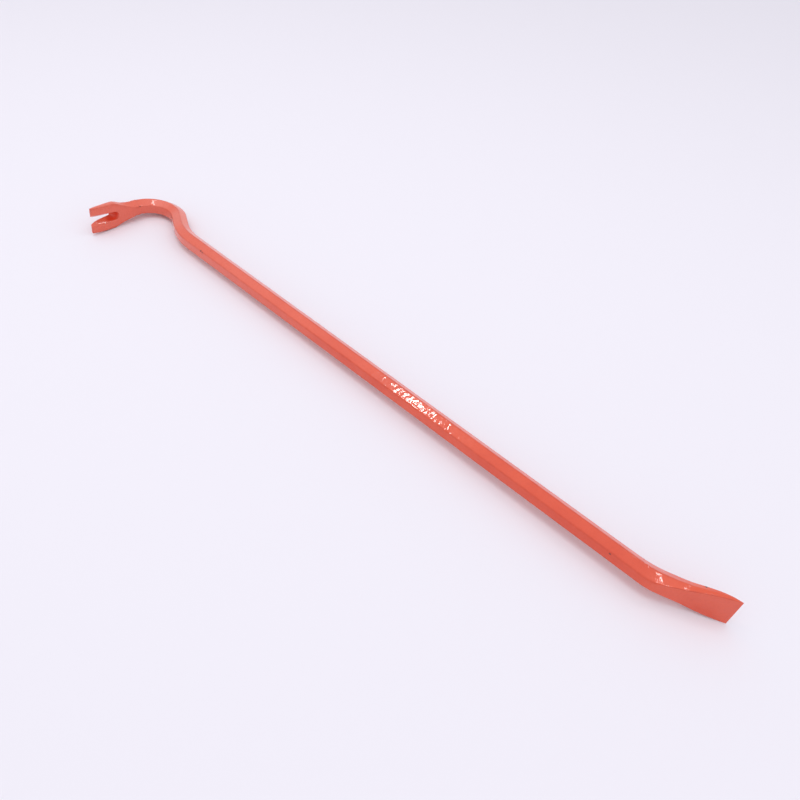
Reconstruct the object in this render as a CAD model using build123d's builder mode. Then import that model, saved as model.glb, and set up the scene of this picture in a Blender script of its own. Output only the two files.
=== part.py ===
from build123d import *
import os
from math import cos, radians, sin

# One-piece forged pry bar (gooseneck wrecking bar), all sizes in millimetres.
#
# The bar is drawn in its own bend plane and set down the way it lies on a flat surface.
# In the bend plane u runs along the shank from the gooseneck to the chisel and v points to
# the back of the hook; w stands square to the plane. Each piece is one stage of the forging,
# and meets the next one face to face.

# ---- hexagonal stock -------------------------------------------------------------------
HEX_FLATS = 19.7            # 3/4 in hexagon with its enamel, across flats
HEX_EDGE_RADIUS = 2.0
SHANK_LENGTH = 676.0

# ---- gooseneck, from the shank outwards --------------------------------------------------
NECK_RADIUS = 84.4
NECK_ANGLE = 28.4
NECK_STRAIGHT = 23.4
HOOK_RADIUS = 37.7
HOOK_ANGLE = 112.4          # as far as the forging shoulder

# ---- claw head ---------------------------------------------------------------------------
CLAW_TURN = 7.9             # the last degrees of the hook belong to the forged head
CLAW_STRAIGHT = 53.7
CLAW_TIP_RADIUS = 155.0
CLAW_TIP_TURN = 5.1
# distance from the shoulder, inner and outer face, half widths at the inner edge, side and
# outer edge, edge radius
CLAW_STATIONS = [
    (0.0, -10.4, 10.3, 6.4, 11.9, 6.4, 2.2),
    (6.0, -10.3, 9.7, 6.7, 12.0, 6.8, 2.1),
    (12.0, -10.0, 8.6, 7.6, 12.2, 7.5, 2.0),
    (18.0, -9.0, 7.5, 9.2, 12.5, 9.1, 1.9),
    (25.5, -7.3, 6.4, 12.0, 13.6, 11.9, 1.8),
    (32.0, -6.2, 5.5, 15.1, 16.1, 15.0, 1.7),
    (38.5, -5.8, 4.1, 17.5, 18.0, 17.4, 1.6),
    (46.0, -5.8, 3.0, 18.0, 18.35, 18.0, 1.5),
    (58.0, -5.6, 1.9, 18.1, 18.4, 18.0, 1.4),
    (66.0, -4.7, 1.0, 18.1, 18.4, 18.0, 1.3),
    (72.6, -3.1, 0.0, 17.9, 18.15, 17.9, 1.0),
]

# ---- nail slot, a V through the head that opens towards the inner face --------------------
# level across the head, depth from the tips, width at the tips, width at the round end
SLOT_INNER = (-8.0, 42.6, 26.8, 14.6)
SLOT_OUTER = (4.6, 29.4, 1.7, 1.1)
SLOT_RUNOUT = 6.0           # how far the cut runs on past the tips

# ---- chisel end, stations along the shank's own direction -----------------------------------
# distance from the shank, inner and outer face, half widths at the inner edge, side and outer
# edge, edge radius
CHISEL_STATIONS = [
    (6.0, -9.85, 9.95, 5.7, 11.4, 5.7, 2.0),
    (12.0, -9.9, 10.2, 5.7, 11.4, 5.7, 2.0),
    (19.0, -9.9, 11.1, 5.7, 11.4, 5.7, 2.0),
    (27.0, -9.0, 12.7, 5.9, 11.4, 5.8, 2.0),
    (38.0, -4.8, 15.4, 7.2, 11.3, 6.7, 1.9),
    (54.0, 3.5, 19.1, 10.2, 11.8, 9.0, 1.7),
    (68.0, 10.7, 22.3, 13.7, 14.3, 13.2, 1.6),
    (82.0, 17.9, 25.4, 16.3, 16.7, 16.2, 1.4),
    (91.0, 22.5, 26.9, 16.9, 17.2, 16.9, 0.9),
    (97.3, 25.7, 26.9, 17.1, 17.2, 17.1, 0.25),
]
BLADE_ANGLE = 27.18         # the inner face is struck flat, at this angle to the shank
BLADE_EDGE_THICKNESS = 0.85

# ---- how the bar lies --------------------------------------------------------------------
# It touches the surface at the back of the hook, a lower claw corner and a lower chisel corner.
REST_ROLL = -5.6885
REST_PITCH = -0.4114
REST_ORIGIN = (-323.44, 22.98, 14.21)   # the start of the shank, from the middle of the base

rest = Location(REST_ORIGIN, (REST_ROLL, REST_PITCH, 0))
bend_plane = Plane(rest)
hex_half = HEX_FLATS / 2
hex_ridge = hex_half / cos(radians(30))


def section(inner, outer, inner_half, side_half, outer_half):
    """Corners of a six-sided section: x runs from the inner to the outer face, y across."""
    middle = (inner + outer) / 2
    return [
        (inner, inner_half),
        (middle, side_half),
        (outer, outer_half),
        (outer, -outer_half),
        (middle, -side_half),
        (inner, -inner_half),
    ]


def slot_outline(depth, mouth, end):
    """Straight sides of a tapering slot; x runs in from the tips, y across."""
    round_start = depth - end / 2
    spread = (mouth - end) / 2 / round_start
    mouth_half = mouth / 2 + spread * SLOT_RUNOUT
    return [
        (round_start, end / 2),
        (-SLOT_RUNOUT, mouth_half),
        (-SLOT_RUNOUT, -mouth_half),
        (round_start, -end / 2),
    ]


def claw_plane(distance):
    """Section plane of the claw head, x towards the outer face."""
    origin = claw_wire.position_at(distance, position_mode=PositionMode.LENGTH)
    along = claw_wire.tangent_at(distance, position_mode=PositionMode.LENGTH)
    return Plane(origin=origin, x_dir=along.cross(bend_plane.z_dir), z_dir=along)


def chisel_plane(distance):
    """Section plane of the chisel end, square to the shank, x towards the outer face."""
    square = Plane(origin=(SHANK_LENGTH + distance, 0, 0), x_dir=(0, 1, 0), z_dir=(1, 0, 0))
    return Plane(rest * square.location)


os.makedirs("parts", exist_ok=True)
hex_corners = section(-hex_half, hex_half, hex_ridge / 2, hex_ridge, hex_ridge / 2)

# ---- shank: straight stock -------------------------------------------------------------------
with BuildPart() as shank:
    with BuildSketch(chisel_plane(-SHANK_LENGTH)) as stock:
        with BuildLine():
            Polyline(*hex_corners, close=True)
        make_face()
        fillet(stock.vertices(), HEX_EDGE_RADIUS)
    extrude(amount=SHANK_LENGTH)
shank.part.label = "shank"
export_step(shank.part, "parts/shank.step")

# ---- gooseneck: the same stock bent in the bend plane -------------------------------------------
with BuildLine(bend_plane) as neck_path:
    lead_in = JernArc((0, 0), (-1, 0), NECK_RADIUS, -NECK_ANGLE)
    rise = Line(lead_in @ 1, lead_in @ 1 + NECK_STRAIGHT * (lead_in % 1))
    hook = JernArc(rise @ 1, rise % 1, HOOK_RADIUS, HOOK_ANGLE)

with BuildPart() as gooseneck:
    add(neck_path.line)
    with BuildSketch(chisel_plane(-SHANK_LENGTH)) as neck_section:
        add(stock.sketch_local)
    sweep()
gooseneck.part.label = "gooseneck"
export_step(gooseneck.part, "parts/gooseneck.step")

# ---- claw head: forged from the end of the gooseneck, then slotted ------------------------------
with BuildLine(bend_plane) as claw_line:
    turn_in = JernArc(hook @ 1, hook % 1, HOOK_RADIUS, CLAW_TURN)
    tines = Line(turn_in @ 1, turn_in @ 1 + CLAW_STRAIGHT * (turn_in % 1))
    tip_bend = JernArc(tines @ 1, tines % 1, CLAW_TIP_RADIUS, CLAW_TIP_TURN)
claw_wire = claw_line.wire()
slot_along = tines % 1
slot_across = slot_along.cross(bend_plane.z_dir)

with BuildPart() as claw_head:
    for distance, inner, outer, inner_half, side_half, outer_half, edge_radius in CLAW_STATIONS:
        with BuildSketch(claw_plane(distance)) as claw_section:
            with BuildLine():
                Polyline(*section(inner, outer, inner_half, side_half, outer_half), close=True)
            make_face()
            fillet(claw_section.vertices(), edge_radius)
    loft()
    for level, depth, mouth, end in (SLOT_INNER, SLOT_OUTER):
        slot_origin = tip_bend @ 1 + level * slot_across
        with BuildSketch(Plane(origin=slot_origin, x_dir=-slot_along, z_dir=slot_across)):
            with BuildLine():
                sides = slot_outline(depth, mouth, end)
                Polyline(*sides)
                ThreePointArc(sides[-1], (depth, 0), sides[0])
            make_face()
    loft(mode=Mode.SUBTRACT)
claw_head.part.label = "claw_head"
export_step(claw_head.part, "parts/claw_head.step")

# ---- chisel end: the stock bends at the heel and is drawn out into a blade ------------------------
blade_end, _, blade_outer = CHISEL_STATIONS[-1][:3]
blade_slope = radians(BLADE_ANGLE)
blade_edge = Plane(
    origin=(SHANK_LENGTH + blade_end, blade_outer - BLADE_EDGE_THICKNESS, 0),
    x_dir=(cos(blade_slope), sin(blade_slope), 0),
    z_dir=(-sin(blade_slope), cos(blade_slope), 0),
)
blade_face = Plane(rest * blade_edge.location)

with BuildPart() as chisel:
    with BuildSketch(chisel_plane(0)):
        add(stock.sketch_local)
    for distance, inner, outer, inner_half, side_half, outer_half, edge_radius in CHISEL_STATIONS:
        with BuildSketch(chisel_plane(distance)) as blade_section:
            with BuildLine():
                Polyline(*section(inner, outer, inner_half, side_half, outer_half), close=True)
            make_face()
            fillet(blade_section.vertices(), edge_radius)
    loft()
    split(bisect_by=blade_face, keep=Keep.TOP)
chisel.part.label = "chisel"
export_step(chisel.part, "parts/chisel.step")
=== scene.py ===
import math

import bmesh
import bpy
import numpy as np
from mathutils import Matrix, Vector, noise
from mathutils.bvhtree import BVHTree


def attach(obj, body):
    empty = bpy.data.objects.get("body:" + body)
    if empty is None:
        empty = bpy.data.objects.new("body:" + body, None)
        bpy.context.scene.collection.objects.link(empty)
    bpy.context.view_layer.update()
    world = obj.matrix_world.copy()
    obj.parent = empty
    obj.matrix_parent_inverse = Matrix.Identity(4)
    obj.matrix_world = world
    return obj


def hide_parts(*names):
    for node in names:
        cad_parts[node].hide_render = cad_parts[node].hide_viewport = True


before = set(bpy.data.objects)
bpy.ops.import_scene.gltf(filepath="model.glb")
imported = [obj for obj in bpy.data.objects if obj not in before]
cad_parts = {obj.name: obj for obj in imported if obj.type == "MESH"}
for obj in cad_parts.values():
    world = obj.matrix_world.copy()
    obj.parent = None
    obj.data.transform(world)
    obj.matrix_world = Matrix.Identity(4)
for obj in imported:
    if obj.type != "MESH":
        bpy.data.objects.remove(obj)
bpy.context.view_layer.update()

# The bar is described in its own bend plane, in millimetres, as the forging is: u along the
# shank towards the chisel, v towards the back of the hook, w across. REST sets it down on
# the floor the way it lies, in metres.
MM = 0.001
REST_ROLL = -5.6885
REST_PITCH = -0.4114
REST_ORIGIN = Vector((-323.44, 22.98, 14.21))
REST = (
    Matrix.Translation(REST_ORIGIN * MM)
    @ Matrix.Rotation(math.radians(REST_ROLL), 4, "X")
    @ Matrix.Rotation(math.radians(REST_PITCH), 4, "Y")
    @ Matrix.Scale(MM, 4)
)

# hexagonal stock
HEX_FLATS = 19.7
HEX_EDGE_RADIUS = 2.0
SHANK_LENGTH = 676.0

# the hook's centreline from the shank outwards: lengths, radii, and turns in degrees
NECK_RADIUS, NECK_ANGLE = 84.4, 28.4
NECK_STRAIGHT = 23.4
HOOK_RADIUS, HOOK_ANGLE = 37.7, 112.4
CLAW_TURN = 7.9
CLAW_STRAIGHT = 53.7
CLAW_TIP_RADIUS, CLAW_TIP_TURN = 155.0, 5.1

# Sections: distance along, inner and outer face, half widths at the inner edge, the side and
# the outer edge, edge radius. The claw swells at once where the forging dies gripped it.
CLAW_STATIONS = [
    (0.0, -9.85, 9.85, 5.69, 11.37, 5.69, 2.0),
    (0.6, -9.87, 9.87, 5.75, 11.42, 5.75, 2.0),
    (3.2, -10.0, 9.95, 6.35, 11.95, 6.3, 1.9),
    (6.0, -10.0, 9.6, 6.15, 11.75, 6.3, 2.0),
    (12.0, -9.9, 8.6, 7.3, 12.0, 7.3, 2.0),
    (18.0, -9.0, 7.5, 9.2, 12.5, 9.1, 1.9),
    (25.5, -7.3, 6.4, 12.0, 13.6, 11.9, 1.8),
    (32.0, -6.2, 5.5, 15.1, 16.1, 15.0, 1.7),
    (38.5, -5.8, 4.1, 17.5, 18.0, 17.4, 1.6),
    (46.0, -5.8, 3.0, 18.0, 18.35, 18.0, 1.5),
    (58.0, -5.6, 1.9, 18.1, 18.4, 18.0, 1.4),
    (66.0, -4.7, 1.0, 18.1, 18.4, 18.0, 1.3),
    (72.6, -3.1, 0.0, 17.9, 18.15, 17.9, 1.0),
]
CLAW_LENGTH = CLAW_STATIONS[-1][0]
CLAW_END_RADIUS = 0.7
CHISEL_STATIONS = [
    (0.0, -9.85, 9.85, 5.69, 11.37, 5.69, 2.0),
    (6.0, -9.85, 9.95, 5.7, 11.4, 5.7, 2.0),
    (12.0, -9.9, 10.2, 5.7, 11.4, 5.7, 2.0),
    (19.0, -9.9, 11.1, 5.7, 11.4, 5.7, 2.0),
    (27.0, -9.0, 12.7, 5.9, 11.4, 5.8, 2.0),
    (38.0, -4.8, 15.4, 7.2, 11.3, 6.7, 1.9),
    (54.0, 3.5, 19.1, 10.2, 11.8, 9.0, 1.7),
    (68.0, 10.7, 22.3, 13.7, 14.3, 13.2, 1.6),
    (82.0, 17.9, 25.4, 16.3, 16.7, 16.2, 1.4),
    (91.0, 22.5, 26.9, 16.9, 17.2, 16.9, 0.9),
    (98.1, 26.1, 26.95, 17.15, 17.25, 17.15, 0.2),
]
CHISEL_LENGTH = CHISEL_STATIONS[-1][0]
# the blade's inner face is ground flat, at this angle through this level at its edge
BLADE_ANGLE = 27.18
BLADE_EDGE_LEVEL = 26.46

# Nail slot at three levels: level across the head, depth from the tips, width at the tips and
# at the round end, and how far the sides bow in between. The round end is a steep bowl, and
# the tines' walls are filed in two bevels that meet in a ridge at the middle level.
SLOT_LEVELS = [
    (-8.0, 41.45, 26.9, 13.3, 0.0),
    (-2.6, 38.4, 15.8, 10.4, 0.9),
    (4.6, 28.5, 1.9, 0.6, 0.0),
]
# how far the roundings reach along the faces, and the share of a bevel they may take up
SLOT_RIM_REACH = 0.45
SLOT_RIDGE_REACH = 1.1
SLOT_LIP_REACH = 0.7
SLOT_BEVEL_SHARE = 0.45
SLOT_MOUTH_RADIUS = 0.8
# how closely a slot wall's crossing of a face is sought, and how near to the wall's ends it may be
MEET_ROUNDS, MEET_MARGIN = 4, 0.05
# how far the cutting solid goes past the tips, past the faces, and over the forging's relief
SLOT_RUNOUT = 6.0
SLOT_CLEAR = 3.0
SLOT_OVERCUT = 0.02

# mesh density
RING_STEP = 1.0
FINE_STEP = 0.5
ARC_POINTS = 7
FLAT_POINTS = 9
CORNER_POINTS = 6
HEAD_FACE_POINTS = 60
SLOT_FIRST_STEP = 0.05
SLOT_WALL_START, SLOT_WALL_STEP = 2.0, 1.5
SLOT_ROUND_POINTS = 33

# the largest share of a flat that the rounding of one of its edges takes up
EDGE_SHARE = 0.48
# the forging's uneven surface
WAVE_LENGTH, WAVE_HEIGHT = 42.0, 0.10
DENT_LENGTH, DENT_HEIGHT = 8.0, 0.022
# the turn per millimetre and the depth under the surface that the paint takes as full ones
EDGE_TURN = 0.28
HOLLOW_DEPTH = 3.0
SHARP_ANGLE = 45.0


# ---- shape helpers -------------------------------------------------------------------------
def unit(vector):
    return vector / np.linalg.norm(vector)


def walk(runs, start, heading):
    """Positions and headings along tangent runs; a run is (length, turn in radians)."""
    def at(distance):
        point, angle, left = np.array(start, float), heading, distance
        for i, (length, turn) in enumerate(runs):
            step = left if i == len(runs) - 1 else min(left, length)
            share = turn * step / length
            if turn:
                point = point + length / turn * np.array([
                    math.sin(angle + share) - math.sin(angle),
                    math.cos(angle) - math.cos(angle + share),
                ])
            else:
                point = point + step * np.array([math.cos(angle), math.sin(angle)])
            angle += share
            left -= step
            if left <= 0:
                break
        return point, angle
    return at


def eased(table, distances):
    """Monotone cubic interpolation of every column of a station table."""
    table = np.array(table, float)
    at = table[:, 0]
    gap = np.diff(at)
    near_weight, far_weight = 2 * gap[1:] + gap[:-1], gap[1:] + 2 * gap[:-1]
    i = np.clip(np.searchsorted(at, distances, side="right") - 1, 0, len(at) - 2)
    t = (distances - at[i]) / gap[i]
    columns = [np.array(distances, float)]
    for value in table[:, 1:].T:
        slope = np.diff(value) / gap
        tangent = np.zeros(len(at))
        tangent[0], tangent[-1] = slope[0], slope[-1]
        for k in np.flatnonzero(slope[:-1] * slope[1:] > 0):
            total = near_weight[k] + far_weight[k]
            tangent[k + 1] = total / (near_weight[k] / slope[k] + far_weight[k] / slope[k + 1])
        from_near = (1 + 2 * t) * (1 - t) ** 2 * value[i] + t * (1 - t) ** 2 * gap[i] * tangent[i]
        from_far = t * t * (3 - 2 * t) * value[i + 1] + t * t * (t - 1) * gap[i] * tangent[i + 1]
        columns.append(from_near + from_far)
    return np.array(columns).T


def ring(inner, outer, inner_half, side_half, outer_half, radius):
    """Points round a six-sided section with rounded edges: x outwards, y across."""
    middle = (inner + outer) / 2
    corners = np.array([
        (outer, outer_half), (middle, side_half), (inner, inner_half),
        (inner, -inner_half), (middle, -side_half), (outer, -outer_half),
    ])
    arcs = []
    for i, corner in enumerate(corners):
        before, after = corners[i - 1] - corner, corners[(i + 1) % 6] - corner
        reach = min(np.linalg.norm(before), np.linalg.norm(after)) * EDGE_SHARE
        before, after = unit(before), unit(after)
        half = math.acos(before @ after) / 2
        tangent = min(radius / math.tan(half), reach)
        centre = corner + unit(before + after) * (tangent * math.tan(half) / math.sin(half))
        start, finish = corner + before * tangent - centre, corner + after * tangent - centre
        sweep = math.pi - 2 * half
        arcs.append([
            centre + (start * math.sin((1 - t) * sweep) + finish * math.sin(t * sweep)) / math.sin(sweep)
            for t in np.linspace(0, 1, ARC_POINTS)
        ])
    points = []
    for i, arc in enumerate(arcs):
        following = arcs[(i + 1) % 6][0]
        shares = np.linspace(0, 1, FLAT_POINTS + 2)[1:-1]
        points += arc + [arc[-1] + (following - arc[-1]) * t for t in shares]
    return np.array(points)


def relief(points):
    """How far the forged surface stands proud at each point."""
    height = [
        WAVE_HEIGHT * noise.noise(Vector(p / WAVE_LENGTH))
        + DENT_HEIGHT * noise.noise(Vector(p / DENT_LENGTH))
        for p in points.reshape(-1, 3)
    ]
    return np.array(height).reshape(points.shape[:-1])


def tube_normals(grid):
    """Outward unit normals of a tube of rings."""
    along = np.gradient(grid, axis=0)
    around = np.roll(grid, -1, axis=1) - np.roll(grid, 1, axis=1)
    normals = np.cross(along, around)
    normals /= np.linalg.norm(normals, axis=2, keepdims=True)
    outward = grid - grid.mean(axis=1, keepdims=True)
    return normals * np.sign((normals * outward).sum())


def tube(name, grid):
    """Closed mesh through rings of points, capped at both ends."""
    count, around = grid.shape[:2]
    mesh = bpy.data.meshes.new(name)
    faces = []
    for i in range(count - 1):
        for j in range(around):
            k = (j + 1) % around
            faces.append((i * around + j, i * around + k, (i + 1) * around + k, (i + 1) * around + j))
    faces.append(tuple(range(around)))
    faces.append(tuple((count - 1) * around + j for j in reversed(range(around))))
    mesh.from_pydata([REST @ Vector(p) for p in grid.reshape(-1, 3)], [], faces)
    form = bmesh.new()
    form.from_mesh(mesh)
    bmesh.ops.recalc_face_normals(form, faces=form.faces)
    for face in form.faces:
        face.smooth = len(face.verts) == 4
    form.to_mesh(mesh)
    form.free()
    piece = bpy.data.objects.new(name, mesh)
    bpy.context.scene.collection.objects.link(piece)
    return piece


def spot_key(point):
    """A point to the nearest micrometre, to know it again by."""
    return tuple(round(c / MM, 3) for c in point)


def mark_edges(mesh, ends):
    """Stores how sharply each point's surface turns outwards, 0 to 1, for the paint."""
    count = len(mesh.vertices)
    place, normal = np.empty(count * 3), np.empty(count * 3)
    mesh.vertices.foreach_get("co", place)
    mesh.vertex_normals.foreach_get("vector", normal)
    place, normal = place.reshape(-1, 3), normal.reshape(-1, 3)
    for vertex in mesh.vertices:
        if spot_key(vertex.co) in ends:
            normal[vertex.index] = ends[spot_key(vertex.co)]
    pairs = np.empty(len(mesh.edges) * 2, int)
    mesh.edges.foreach_get("vertices", pairs)
    a, b = pairs.reshape(-1, 2).T
    step = place[b] - place[a]
    square = (step ** 2).sum(1)
    bend = np.zeros(count)
    np.add.at(bend, a, -(normal[a] * step).sum(1) / square)
    np.add.at(bend, b, (normal[b] * step).sum(1) / square)
    turn = bend / np.bincount(np.concatenate([a, b]), minlength=count) * MM
    layer = mesh.attributes.new("edge", "FLOAT", "POINT")
    layer.data.foreach_set("value", np.clip(turn / EDGE_TURN, 0, 1).astype(np.float32))


def skin(name, rings, spare):
    """
    A tube with the forging's relief, and the normals of its end rings. Spare rings stand for
    the start of the next piece: they shape those normals and aren't built.
    """
    grid = np.array(rings, float)
    grid += tube_normals(grid) * relief(grid)[..., None]
    normals = tube_normals(grid)
    first, last = spare[0], len(grid) - 1 - spare[1]
    piece = tube(name, grid[first:last + 1])
    turn = REST.to_3x3().normalized()
    ends = {
        spot_key(REST @ Vector(p)): turn @ Vector(n)
        for i in (first, last) for p, n in zip(grid[i], normals[i])
    }
    mark_edges(piece.data, ends)
    return piece, ends


def carry_normals(piece, ends):
    """Shades the end rings as if the next piece went on, so that no joint shows."""
    mesh = piece.data
    known = {v.index: ends[spot_key(v.co)] for v in mesh.vertices if spot_key(v.co) in ends}
    custom = [Vector((0, 0, 0))] * len(mesh.loops)
    for face in mesh.polygons:
        if face.use_smooth:
            for loop, vertex in zip(face.loop_indices, face.vertices):
                if vertex in known:
                    custom[loop] = known[vertex]
    mesh.normals_split_custom_set(custom)


def placed(section, origin, outward):
    """A section's points in the bend plane's axes."""
    across = np.array([0, 0, 1.0])
    return [np.array([*origin, 0.0]) + x * np.array([*outward, 0.0]) + y * across for x, y in section]


def outward_at(heading):
    return np.array([math.sin(heading), -math.cos(heading)])


def steps_over(length, step):
    return np.linspace(0, length, round(length / step) + 1)


# ---- the stock and its hook ----------------------------------------------------------------
neck_turn = math.radians(NECK_ANGLE)
hook_turn = math.radians(HOOK_ANGLE + CLAW_TURN)
tip_turn = math.radians(CLAW_TIP_TURN)
hook_line = walk(
    [
        (NECK_RADIUS * neck_turn, -neck_turn),
        (NECK_STRAIGHT, 0.0),
        (HOOK_RADIUS * hook_turn, hook_turn),
        (CLAW_STRAIGHT, 0.0),
        (CLAW_TIP_RADIUS * tip_turn, tip_turn),
    ],
    (0, 0), math.pi,
)
SHOULDER = NECK_RADIUS * neck_turn + NECK_STRAIGHT + HOOK_RADIUS * math.radians(HOOK_ANGLE)
STOCK = ring(
    -HEX_FLATS / 2, HEX_FLATS / 2,
    HEX_FLATS / math.sqrt(12), HEX_FLATS / math.sqrt(3), HEX_FLATS / math.sqrt(12),
    HEX_EDGE_RADIUS,
)


def hook_ring(distance, section):
    """A section's points, so far round the hook from the shank."""
    point, heading = hook_line(distance)
    return placed(section, point, outward_at(heading))


def straight_ring(distance, section):
    """A section's points, so far along the shank from the hook."""
    return placed(section, (distance, 0), (0, 1))


def make_shank():
    steps = [-RING_STEP, *steps_over(SHANK_LENGTH, RING_STEP), SHANK_LENGTH + RING_STEP]
    return skin("shank_skin", [straight_ring(u, STOCK) for u in steps], spare=(1, 1))


def make_gooseneck():
    steps = [-RING_STEP, *steps_over(SHOULDER, RING_STEP), SHOULDER + RING_STEP]
    return skin("gooseneck_skin", [hook_ring(s, STOCK) for s in steps], spare=(1, 1))


# ---- the chisel ----------------------------------------------------------------------------
def make_chisel():
    rings = [straight_ring(SHANK_LENGTH - RING_STEP, STOCK)]
    for distance, *section in eased(CHISEL_STATIONS, steps_over(CHISEL_LENGTH, FINE_STEP)):
        points = np.array(straight_ring(SHANK_LENGTH + distance, ring(*section)))
        to_edge = CHISEL_LENGTH - distance
        ground = BLADE_EDGE_LEVEL - to_edge * math.tan(math.radians(BLADE_ANGLE))
        points[:, 1] = np.maximum(points[:, 1], ground)
        rings.append(points)
    return skin("chisel_skin", rings, spare=(1, 0))


# ---- the claw and its slot -----------------------------------------------------------------
def bent_corner(corner, a, b, reach):
    """Points of a rounded corner between the directions of a and b."""
    start, finish = corner + unit(a - corner) * reach, corner + unit(b - corner) * reach
    return [
        (1 - t) ** 2 * start + 2 * t * (1 - t) * corner + t * t * finish
        for t in np.linspace(0, 1, CORNER_POINTS)
    ]


def slot_columns():
    """Places round the slot from tine to tine: share of the wall's length, turn of the end."""
    height, depth, mouth, end, bow = SLOT_LEVELS[0]
    wall = depth - end / 2
    rounding = SLOT_MOUTH_RADIUS * (1 - np.cos(np.linspace(0, math.pi / 2, ARC_POINTS)))
    straight = np.arange(SLOT_WALL_START, wall, SLOT_WALL_STEP)
    along = np.concatenate([[-SLOT_RUNOUT, -SLOT_FIRST_STEP], rounding, straight]) / wall
    quarter = math.pi / 2
    columns = [(share, quarter) for share in along]
    columns += [(1, turn) for turn in np.linspace(quarter, -quarter, SLOT_ROUND_POINTS)]
    return columns + [(share, -quarter) for share in along[::-1]]


def slot_outline(level, wall_share, turn):
    """A point of the slot's outline at one level: back from the tips, across, level."""
    height, depth, mouth, end, bow = level
    wall = depth - end / 2
    if wall_share >= 1:
        return np.array([wall + end / 2 * math.cos(turn), end / 2 * math.sin(turn), height])
    back = wall * wall_share
    inside = max(back, 0)
    share = inside / wall
    half = (mouth + (end - mouth) * share) / 2 - bow * math.sin(math.pi * share)
    to_round = SLOT_MOUTH_RADIUS - min(inside, SLOT_MOUTH_RADIUS)
    half += SLOT_MOUTH_RADIUS - math.sqrt(SLOT_MOUTH_RADIUS ** 2 - to_round ** 2)
    return np.array([back, math.copysign(half, turn), height])


def head_face(column, tip, back, outward):
    """The head's inner (1) or outer (2) face in the slot's axes: back from the tips, level."""
    stations = np.linspace(CLAW_LENGTH, 0, HEAD_FACE_POINTS)
    spots = []
    for distance, level in zip(stations, eased(CLAW_STATIONS, stations)[:, column]):
        point, heading = hook_line(SHOULDER + distance)
        spots.append(point + level * outward_at(heading) - tip)
    return np.array(spots) @ back, np.array(spots) @ outward


def meet(a, b, face):
    """Where the line from a to b reaches a face of the head, by a few rounds of trying."""
    point = a
    for _ in range(MEET_ROUNDS):
        share = (np.interp(point[0], *face) - a[2]) / (b[2] - a[2])
        point = a + (b - a) * min(max(share, MEET_MARGIN), 1 - MEET_MARGIN)
    return point


def slot_wall(wall_share, turn, inner_face, outer_face):
    """
    Points through the head at one place of the slot, with rounded rims, and which way each
    follows the forging's relief: -1 on the inner face, 1 on the outer, 0 between them.
    """
    top, ridge, bottom = [slot_outline(level, wall_share, turn) for level in SLOT_LEVELS]
    away = unit((top - ridge) * np.array([1, 1, 0]))
    rim, lip = meet(top, ridge, inner_face), meet(ridge, bottom, outer_face)
    room = SLOT_BEVEL_SHARE * np.linalg.norm(rim - ridge)
    rim_rows = bent_corner(rim, rim + away, ridge, min(SLOT_RIM_REACH, room))
    ridge_rows = bent_corner(ridge, top, bottom, min(SLOT_RIDGE_REACH, room))
    lip_rows = bent_corner(lip, ridge, lip + away, SLOT_LIP_REACH)
    clear = np.array([0, 0, SLOT_CLEAR])
    rows = [rim_rows[0] - clear, *rim_rows, *ridge_rows, *lip_rows, lip_rows[-1] + clear]
    sides = np.repeat([-1, 0, 1], [len(rim_rows) + 1, len(ridge_rows), len(lip_rows) + 1])
    return np.array(rows), sides


def slot_cutter():
    """The solid that is cut out of the claw, with the rounding of its rims."""
    tip, _ = hook_line(SHOULDER + CLAW_LENGTH)
    _, heading = hook_line(SHOULDER + CLAW_LENGTH / 2)
    back, outward = -np.array([math.cos(heading), math.sin(heading)]), outward_at(heading)
    inner_face, outer_face = [head_face(column, tip, back, outward) for column in (1, 2)]
    grid = []
    for wall_share, turn in slot_columns():
        rows, sides = slot_wall(wall_share, turn, inner_face, outer_face)
        in_plane = tip + rows[:, :1] * back + rows[:, 2:] * outward
        points = np.column_stack([in_plane, rows[:, 1]])
        lift = sides * (relief(points) + SLOT_OVERCUT)
        points[:, :2] += lift[:, None] * outward
        grid.append(points)
    return tube("slot_cutter", np.array(grid).transpose(1, 0, 2))


def cut_slot(head):
    """Cuts the nail slot, and stores how deep under the old surface it goes, for the painted shade in
    the bowl.
    """
    uncut = BVHTree.FromPolygons(
        [v.co.copy() for v in head.data.vertices], [tuple(f.vertices) for f in head.data.polygons]
    )
    cutter = slot_cutter()
    cut = head.modifiers.new("slot", "BOOLEAN")
    cut.object = cutter
    cut.operation = "DIFFERENCE"
    cut.solver = "EXACT"
    graph = bpy.context.evaluated_depsgraph_get()
    head.data = bpy.data.meshes.new_from_object(head.evaluated_get(graph))
    head.modifiers.clear()
    bpy.data.objects.remove(cutter)
    head.data.set_sharp_from_angle(angle=math.radians(SHARP_ANGLE))
    depths = [uncut.find_nearest(v.co)[3] / (HOLLOW_DEPTH * MM) for v in head.data.vertices]
    hollow = head.data.attributes.new("hollow", "FLOAT", "POINT")
    hollow.data.foreach_set("value", np.clip(depths, 0, 1).astype(np.float32))


def make_claw():
    steps = steps_over(CLAW_LENGTH - CLAW_END_RADIUS, FINE_STEP)
    rings = [hook_ring(SHOULDER - RING_STEP, STOCK)]
    rings += [hook_ring(SHOULDER + row[0], ring(*row[1:])) for row in eased(CLAW_STATIONS, steps)]
    for turn in np.linspace(0, math.pi / 2, ARC_POINTS)[1:]:
        distance = CLAW_LENGTH - CLAW_END_RADIUS * (1 - math.sin(turn))
        inset = CLAW_END_RADIUS * (1 - math.cos(turn))
        inner, outer, *halves, radius = eased(CLAW_STATIONS, np.array([distance]))[0][1:]
        section = ring(inner + inset, outer - inset, *[half - inset for half in halves], radius)
        rings.append(hook_ring(SHOULDER + distance, section))
    head, ends = skin("claw_head_skin", rings, spare=(1, 0))
    cut_slot(head)
    return head, ends


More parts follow.
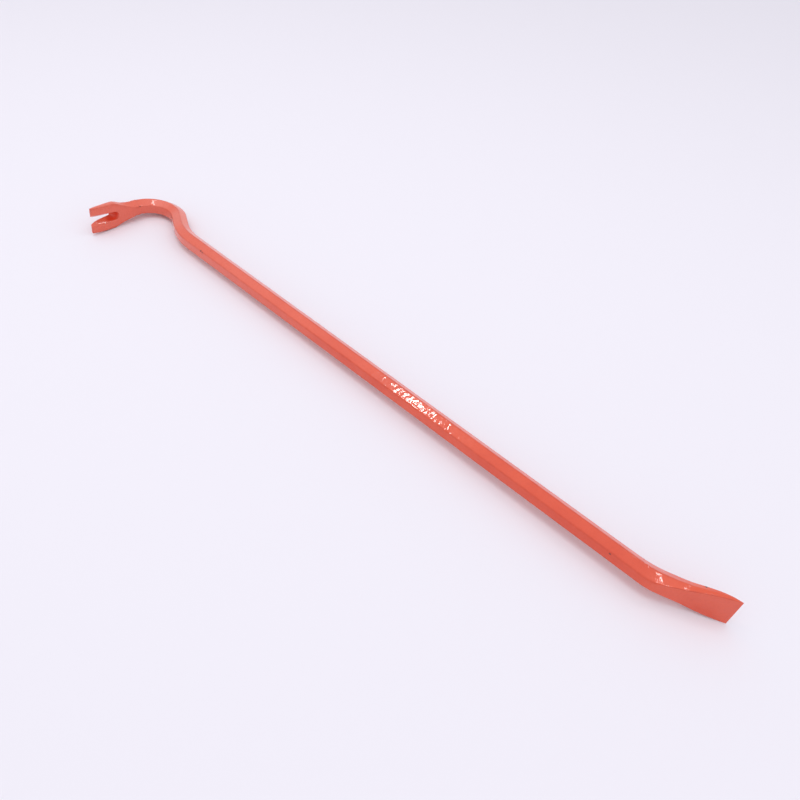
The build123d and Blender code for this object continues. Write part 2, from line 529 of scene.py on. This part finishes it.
# ---- enamel --------------------------------------------------------------------------------
ORANGE = (0.70, 0.061, 0.013, 1)
DEEP_ORANGE = (0.56, 0.034, 0.009, 1)
PALE_ORANGE = (0.76, 0.085, 0.026, 1)
# darker orange on sharp edges: partly thinner paint there, partly a painted dark reflection along the
# ridges
EDGE_ORANGE = (0.42, 0.020, 0.006, 1)
# painted shade: a deeper red for the slot's round end, where the steep walls lie in shade
BOWL_SHADE_ORANGE = (0.66, 0.034, 0.006, 1)
# painted sheen: a paler orange round the hook that stands in for the lamp's broad reflection on the coat
SHEEN_PALE_ORANGE = (0.76, 0.125, 0.070, 1)
BARE_STEEL = (0.10, 0.035, 0.035, 1)
COAT_WEIGHT = 0.9

# Scales of the paint's patterns, per metre, and depths of its surface, in metres.
BLOTCH_SCALE = 22.0
MOTTLE_SCALE = 420.0
PULLED_SCALE = 130.0
RAGGED_SCALE, RAGGED_REACH = 900.0, 0.0025
GLOSS_SCALE = 60.0
PEEL_SCALE, PEEL_DEPTH = 240.0, 0.00019
GRAIN_SCALE, GRAIN_DEPTH = 1300.0, 0.000006
CHIP_DEPTH = 0.00015

# Where the painted sheen round the hook and the painted shade in the slot's round end start to fade and
# end, in metres.
SHEEN_NEAR, SHEEN_FAR = 0.06, 0.48
BOWL_SHADE_NEAR, BOWL_SHADE_FAR = 0.008, 0.015

# Paint chips, in millimetres: along the bar from the hook end of the shank (less than 0 is
# round the hook), corner of the hexagon, radius. Each fades out over a little more.
CHIPS = [
    (-SHOULDER - 0.9, (-9.9, 6.0), 0.8),
    (-SHOULDER - 0.7, (-9.9, -6.4), 1.0),
    (-SHOULDER - 0.7, (0.0, 11.7), 0.7),
    (30.5, (-9.6, 5.8), 0.9),
    (33.5, (-9.7, 5.0), 0.5),
    (659.4, (-9.85, 3.7), 0.8),
    (657.0, (-9.7, -5.8), 0.8),
    (214.0, (-9.8, -5.7), 0.5),
    (498.0, (9.7, 5.8), 0.7),
    (368.0, (9.8, -5.6), 0.9),
    (-62.0, (9.8, 5.7), 0.8),
    (742.0, (20.2, 13.2), 0.9),
]
CHIP_FADE = 0.35


def bar_spot(along, corner):
    """A place on the bar, given as a chip's is."""
    points = hook_ring(-along, [corner]) if along < 0 else straight_ring(along, [corner])
    return REST @ Vector(points[0])


def bowl_spot():
    """The middle of the slot's round end, where shade is painted into the colour."""
    level, depth, mouth, end, bow = SLOT_LEVELS[1]
    return bar_spot(-(SHOULDER + CLAW_LENGTH - depth + end / 2), (level, 0.0))


class Nodes:
    """A small builder of node chains in one node tree."""

    def __init__(self, tree):
        self.tree = tree

    def add(self, kind, **settings):
        node = self.tree.nodes.new(kind)
        for key, value in settings.items():
            setattr(node, key, value)
        return node

    def feed(self, socket, value):
        if isinstance(value, bpy.types.NodeSocket):
            self.tree.links.new(value, socket)
        else:
            socket.default_value = value

    def maths(self, operation, *values):
        node = self.add("ShaderNodeMath", operation=operation)
        for socket, value in zip(node.inputs, values):
            self.feed(socket, value)
        return node.outputs["Value"]


class Paint(Nodes):
    """The node chains of one material."""

    def __init__(self, name):
        self.material = bpy.data.materials.new(name)
        self.material.use_nodes = True
        super().__init__(self.material.node_tree)
        self.shader = self.tree.nodes["Principled BSDF"].inputs
        self.place = self.add("ShaderNodeTexCoord").outputs["Object"]

    def noise(self, per_metre, detail=2.0, roughness=0.5, distortion=0.0):
        node = self.add("ShaderNodeTexNoise")
        self.feed(node.inputs["Vector"], self.place)
        self.feed(node.inputs["Scale"], per_metre)
        self.feed(node.inputs["Detail"], detail)
        self.feed(node.inputs["Roughness"], roughness)
        self.feed(node.inputs["Distortion"], distortion)
        return node.outputs["Fac"]

    def ranged(self, value, low, high, start=0.0, finish=1.0):
        node = self.add("ShaderNodeMapRange", interpolation_type="SMOOTHSTEP")
        self.feed(node.inputs["Value"], value)
        self.feed(node.inputs["From Min"], low)
        self.feed(node.inputs["From Max"], high)
        self.feed(node.inputs["To Min"], start)
        self.feed(node.inputs["To Max"], finish)
        return node.outputs["Result"]

    def mixed(self, share, a, b):
        """Two colours; the colour sockets of this node come after its number and vector ones."""
        node = self.add("ShaderNodeMix", data_type="RGBA")
        self.feed(node.inputs["Factor"], share)
        self.feed(node.inputs[6], a)
        self.feed(node.inputs[7], b)
        return node.outputs[2]

    def attribute(self, name):
        return self.add("ShaderNodeAttribute", attribute_name=name).outputs["Fac"]

    def distance(self, spot):
        node = self.add("ShaderNodeVectorMath", operation="DISTANCE")
        self.feed(node.inputs[0], self.place)
        self.feed(node.inputs[1], spot)
        return node.outputs["Value"]

    def bumped(self, height, depth, normal=None):
        node = self.add("ShaderNodeBump")
        self.feed(node.inputs["Height"], height)
        self.feed(node.inputs["Distance"], depth)
        if normal is not None:
            self.feed(node.inputs["Normal"], normal)
        return node.outputs["Normal"]


def chipped(paint):
    """Where the paint is chipped off, 0 to 1, with ragged outlines."""
    centred = paint.maths("SUBTRACT", paint.noise(RAGGED_SCALE, 3.0), 0.5)
    ragged = paint.maths("MULTIPLY", centred, RAGGED_REACH)
    chips = 0.0
    for along, corner, radius in CHIPS:
        reach = paint.maths("ADD", paint.distance(bar_spot(along, corner)), ragged)
        spot = paint.ranged(reach, radius * MM, (radius + CHIP_FADE) * MM, 1.0, 0.0)
        chips = paint.maths("MAXIMUM", spot, chips)
    return chips


def paint_colour(paint, chips, painted_bowl_shade):
    """Blotched and mottled orange, with a painted sheen paler towards the hook, darker on sharp edges
    from thin paint and a painted dark reflection, and painted shade deep in the bowl.
    """
    blotched = paint.ranged(paint.noise(BLOTCH_SCALE, 3.0), 0.3, 0.7)
    # painted sheen: the paint turns paler towards the hook, in place of reflected lamp light
    painted_sheen = paint.ranged(paint.distance(bar_spot(-SHOULDER, (0.0, 0.0))), SHEEN_NEAR, SHEEN_FAR, 1.0, 0.0)
    mottled = paint.ranged(paint.noise(MOTTLE_SCALE, 4.0, 0.6), 0.45, 0.75, 0.0, 0.22)
    # darker sharp edges: thin paint and a painted dark reflection, broken up by noise
    uneven = paint.ranged(paint.noise(PULLED_SCALE, 3.0), 0.3, 0.7, 0.15, 0.6)
    thin_paint_and_edge_shade = paint.maths("MULTIPLY", paint.attribute("edge"), uneven)
    colour = ORANGE
    for share, other in (
        (blotched, PALE_ORANGE),
        (painted_sheen, SHEEN_PALE_ORANGE),
        (mottled, DEEP_ORANGE),
        (thin_paint_and_edge_shade, EDGE_ORANGE),
        (painted_bowl_shade, BOWL_SHADE_ORANGE),
        (chips, BARE_STEEL),
    ):
        colour = paint.mixed(share, colour, other)
    return colour


def enamel():
    """Glossy brushed-on enamel over forged steel, chipped to the steel at a few corners."""
    paint = Paint("orange_enamel")
    chips = chipped(paint)
    # painted shade: the slot's round end is painted darker and redder, and its coat is thinned there
    bowl = paint.ranged(paint.distance(bowl_spot()), BOWL_SHADE_NEAR, BOWL_SHADE_FAR, 1.0, 0.0)
    painted_bowl_shade = paint.maths("MULTIPLY", paint.attribute("hollow"), bowl)

    normal = paint.bumped(paint.noise(PEEL_SCALE, 0.6, 0.35, 0.3), PEEL_DEPTH)
    normal = paint.bumped(paint.noise(GRAIN_SCALE, 2.0), GRAIN_DEPTH, normal)
    normal = paint.bumped(paint.maths("SUBTRACT", 1.0, chips), CHIP_DEPTH, normal)

    dull = paint.maths("MULTIPLY", paint.maths("MAXIMUM", chips, painted_bowl_shade), COAT_WEIGHT)
    shader = paint.shader
    paint.feed(shader["Base Color"], paint_colour(paint, chips, painted_bowl_shade))
    paint.feed(shader["Roughness"], paint.ranged(paint.noise(GLOSS_SCALE, 2.0), 0.3, 0.7, 0.36, 0.48))
    paint.feed(shader["IOR"], 1.5)
    paint.feed(shader["Specular IOR Level"], 0.3)
    paint.feed(shader["Coat Weight"], paint.maths("SUBTRACT", COAT_WEIGHT, dull))
    paint.feed(shader["Coat Roughness"], 0.07)
    paint.feed(shader["Coat IOR"], 1.5)
    paint.feed(shader["Normal"], normal)
    paint.feed(shader["Coat Normal"], normal)
    return paint.material


orange_enamel = enamel()
for (piece, ends), node in (
    (make_shank(), "shank"),
    (make_gooseneck(), "gooseneck"),
    (make_chisel(), "chisel"),
    (make_claw(), "claw_head"),
):
    carry_normals(piece, ends)
    piece.data.materials.append(orange_enamel)
    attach(piece, "root")
    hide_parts(node)


# ---- stage, light and camera ---------------------------------------------------------------
FLOOR_REACH = 8.0
PAPER = (0.853, 0.834, 0.899, 1)
SKY = (0.975, 0.965, 1.0, 1)
SKY_HORIZON, SKY_MIDDLE, SKY_ZENITH = 1.01, 0.37, 1.25

# Name, place, aim, size (the width of a round lamp, or a softbox's width and height), radiance.
LAMPS = [
    ("left_flash", (-0.621, -0.270, 1.615), (0, 0, 0), 0.12, 42),
    ("hook_flash", (-0.60, 0.04, 1.60), (0, 0, 0), 0.16, 11),
    ("right_flash", (0.66, 0.0, 1.70), (0, 0, 0), 0.10, 38),
    ("far_flash", (0.28, 0.80, 1.70), (0, 0, 0), 0.18, 14),
    ("left_softbox", (-1.05, -0.15, 1.60), (0, 0, 0), (1.05, 1.05), 0.60),
    ("right_softbox", (1.90, -0.20, 1.60), (0, 0, 0), (1.20, 1.20), 0.32),
    ("far_softbox", (1.70, 1.80, 1.80), (0.5, 0.8, 0), (1.20, 1.20), 0.75),
    ("front_softbox", (-0.10, -1.30, 2.00), (0, 0, 0), (1.30, 1.30), 0.20),
]

CAMERA_PLACE = (0.38305, -0.42263, 0.58189)
CAMERA_ANGLES = (43.5428, -6.2233, 42.5963)
CAMERA_LENS, CAMERA_SENSOR = 31.685, 36


def make_floor():
    mesh = bpy.data.meshes.new("floor")
    corners = [(x * FLOOR_REACH, y * FLOOR_REACH, 0) for x, y in ((-1, -1), (1, -1), (1, 1), (-1, 1))]
    mesh.from_pydata(corners, [], [(0, 1, 2, 3)])
    floor = bpy.data.objects.new("floor", mesh)
    bpy.context.scene.collection.objects.link(floor)
    paper = Paint("floor_paper")
    paper.feed(paper.shader["Base Color"], PAPER)
    paper.feed(paper.shader["Roughness"], 0.95)
    paper.feed(paper.shader["Specular IOR Level"], 0.1)
    mesh.materials.append(paper.material)


def make_sky():
    """Soft studio light, blended smoothly from the horizon to straight above."""
    world = bpy.data.worlds.new("studio")
    world.use_nodes = True
    nodes = Nodes(world.node_tree)
    background = nodes.tree.nodes["Background"].inputs
    parts = nodes.add("ShaderNodeSeparateXYZ")
    nodes.feed(parts.inputs["Vector"], nodes.add("ShaderNodeTexCoord").outputs["Generated"])
    height = nodes.maths("MULTIPLY", parts.outputs["Z"], parts.outputs["Z"])
    bend, slope = SKY_ZENITH - 2 * SKY_MIDDLE + SKY_HORIZON, 2 * (SKY_MIDDLE - SKY_HORIZON)
    rise = nodes.maths("MULTIPLY_ADD", height, bend, slope)
    nodes.feed(background["Color"], SKY)
    nodes.feed(background["Strength"], nodes.maths("MULTIPLY_ADD", height, rise, SKY_HORIZON))
    bpy.context.scene.world = world


def make_lamp(name, place, aim, size, radiance):
    data = bpy.data.lights.new(name, "AREA")
    if isinstance(size, tuple):
        data.shape = "RECTANGLE"
        data.size, data.size_y = size
        area = size[0] * size[1]
    else:
        data.shape = "DISK"
        data.size = size
        area = math.pi * size ** 2 / 4
    data.energy = radiance * math.pi * area
    lamp = bpy.data.objects.new(name, data)
    lamp.location = place
    lamp.rotation_euler = (Vector(aim) - Vector(place)).to_track_quat("-Z", "Y").to_euler()
    bpy.context.scene.collection.objects.link(lamp)


def make_camera():
    data = bpy.data.cameras.new("camera")
    data.lens = CAMERA_LENS
    data.sensor_width = CAMERA_SENSOR
    camera = bpy.data.objects.new("camera", data)
    camera.location = CAMERA_PLACE
    camera.rotation_euler = [math.radians(angle) for angle in CAMERA_ANGLES]
    bpy.context.scene.collection.objects.link(camera)
    bpy.context.scene.camera = camera


make_floor()
make_sky()
for lamp in LAMPS:
    make_lamp(*lamp)
make_camera()
bpy.context.scene.view_settings.view_transform = "Standard"
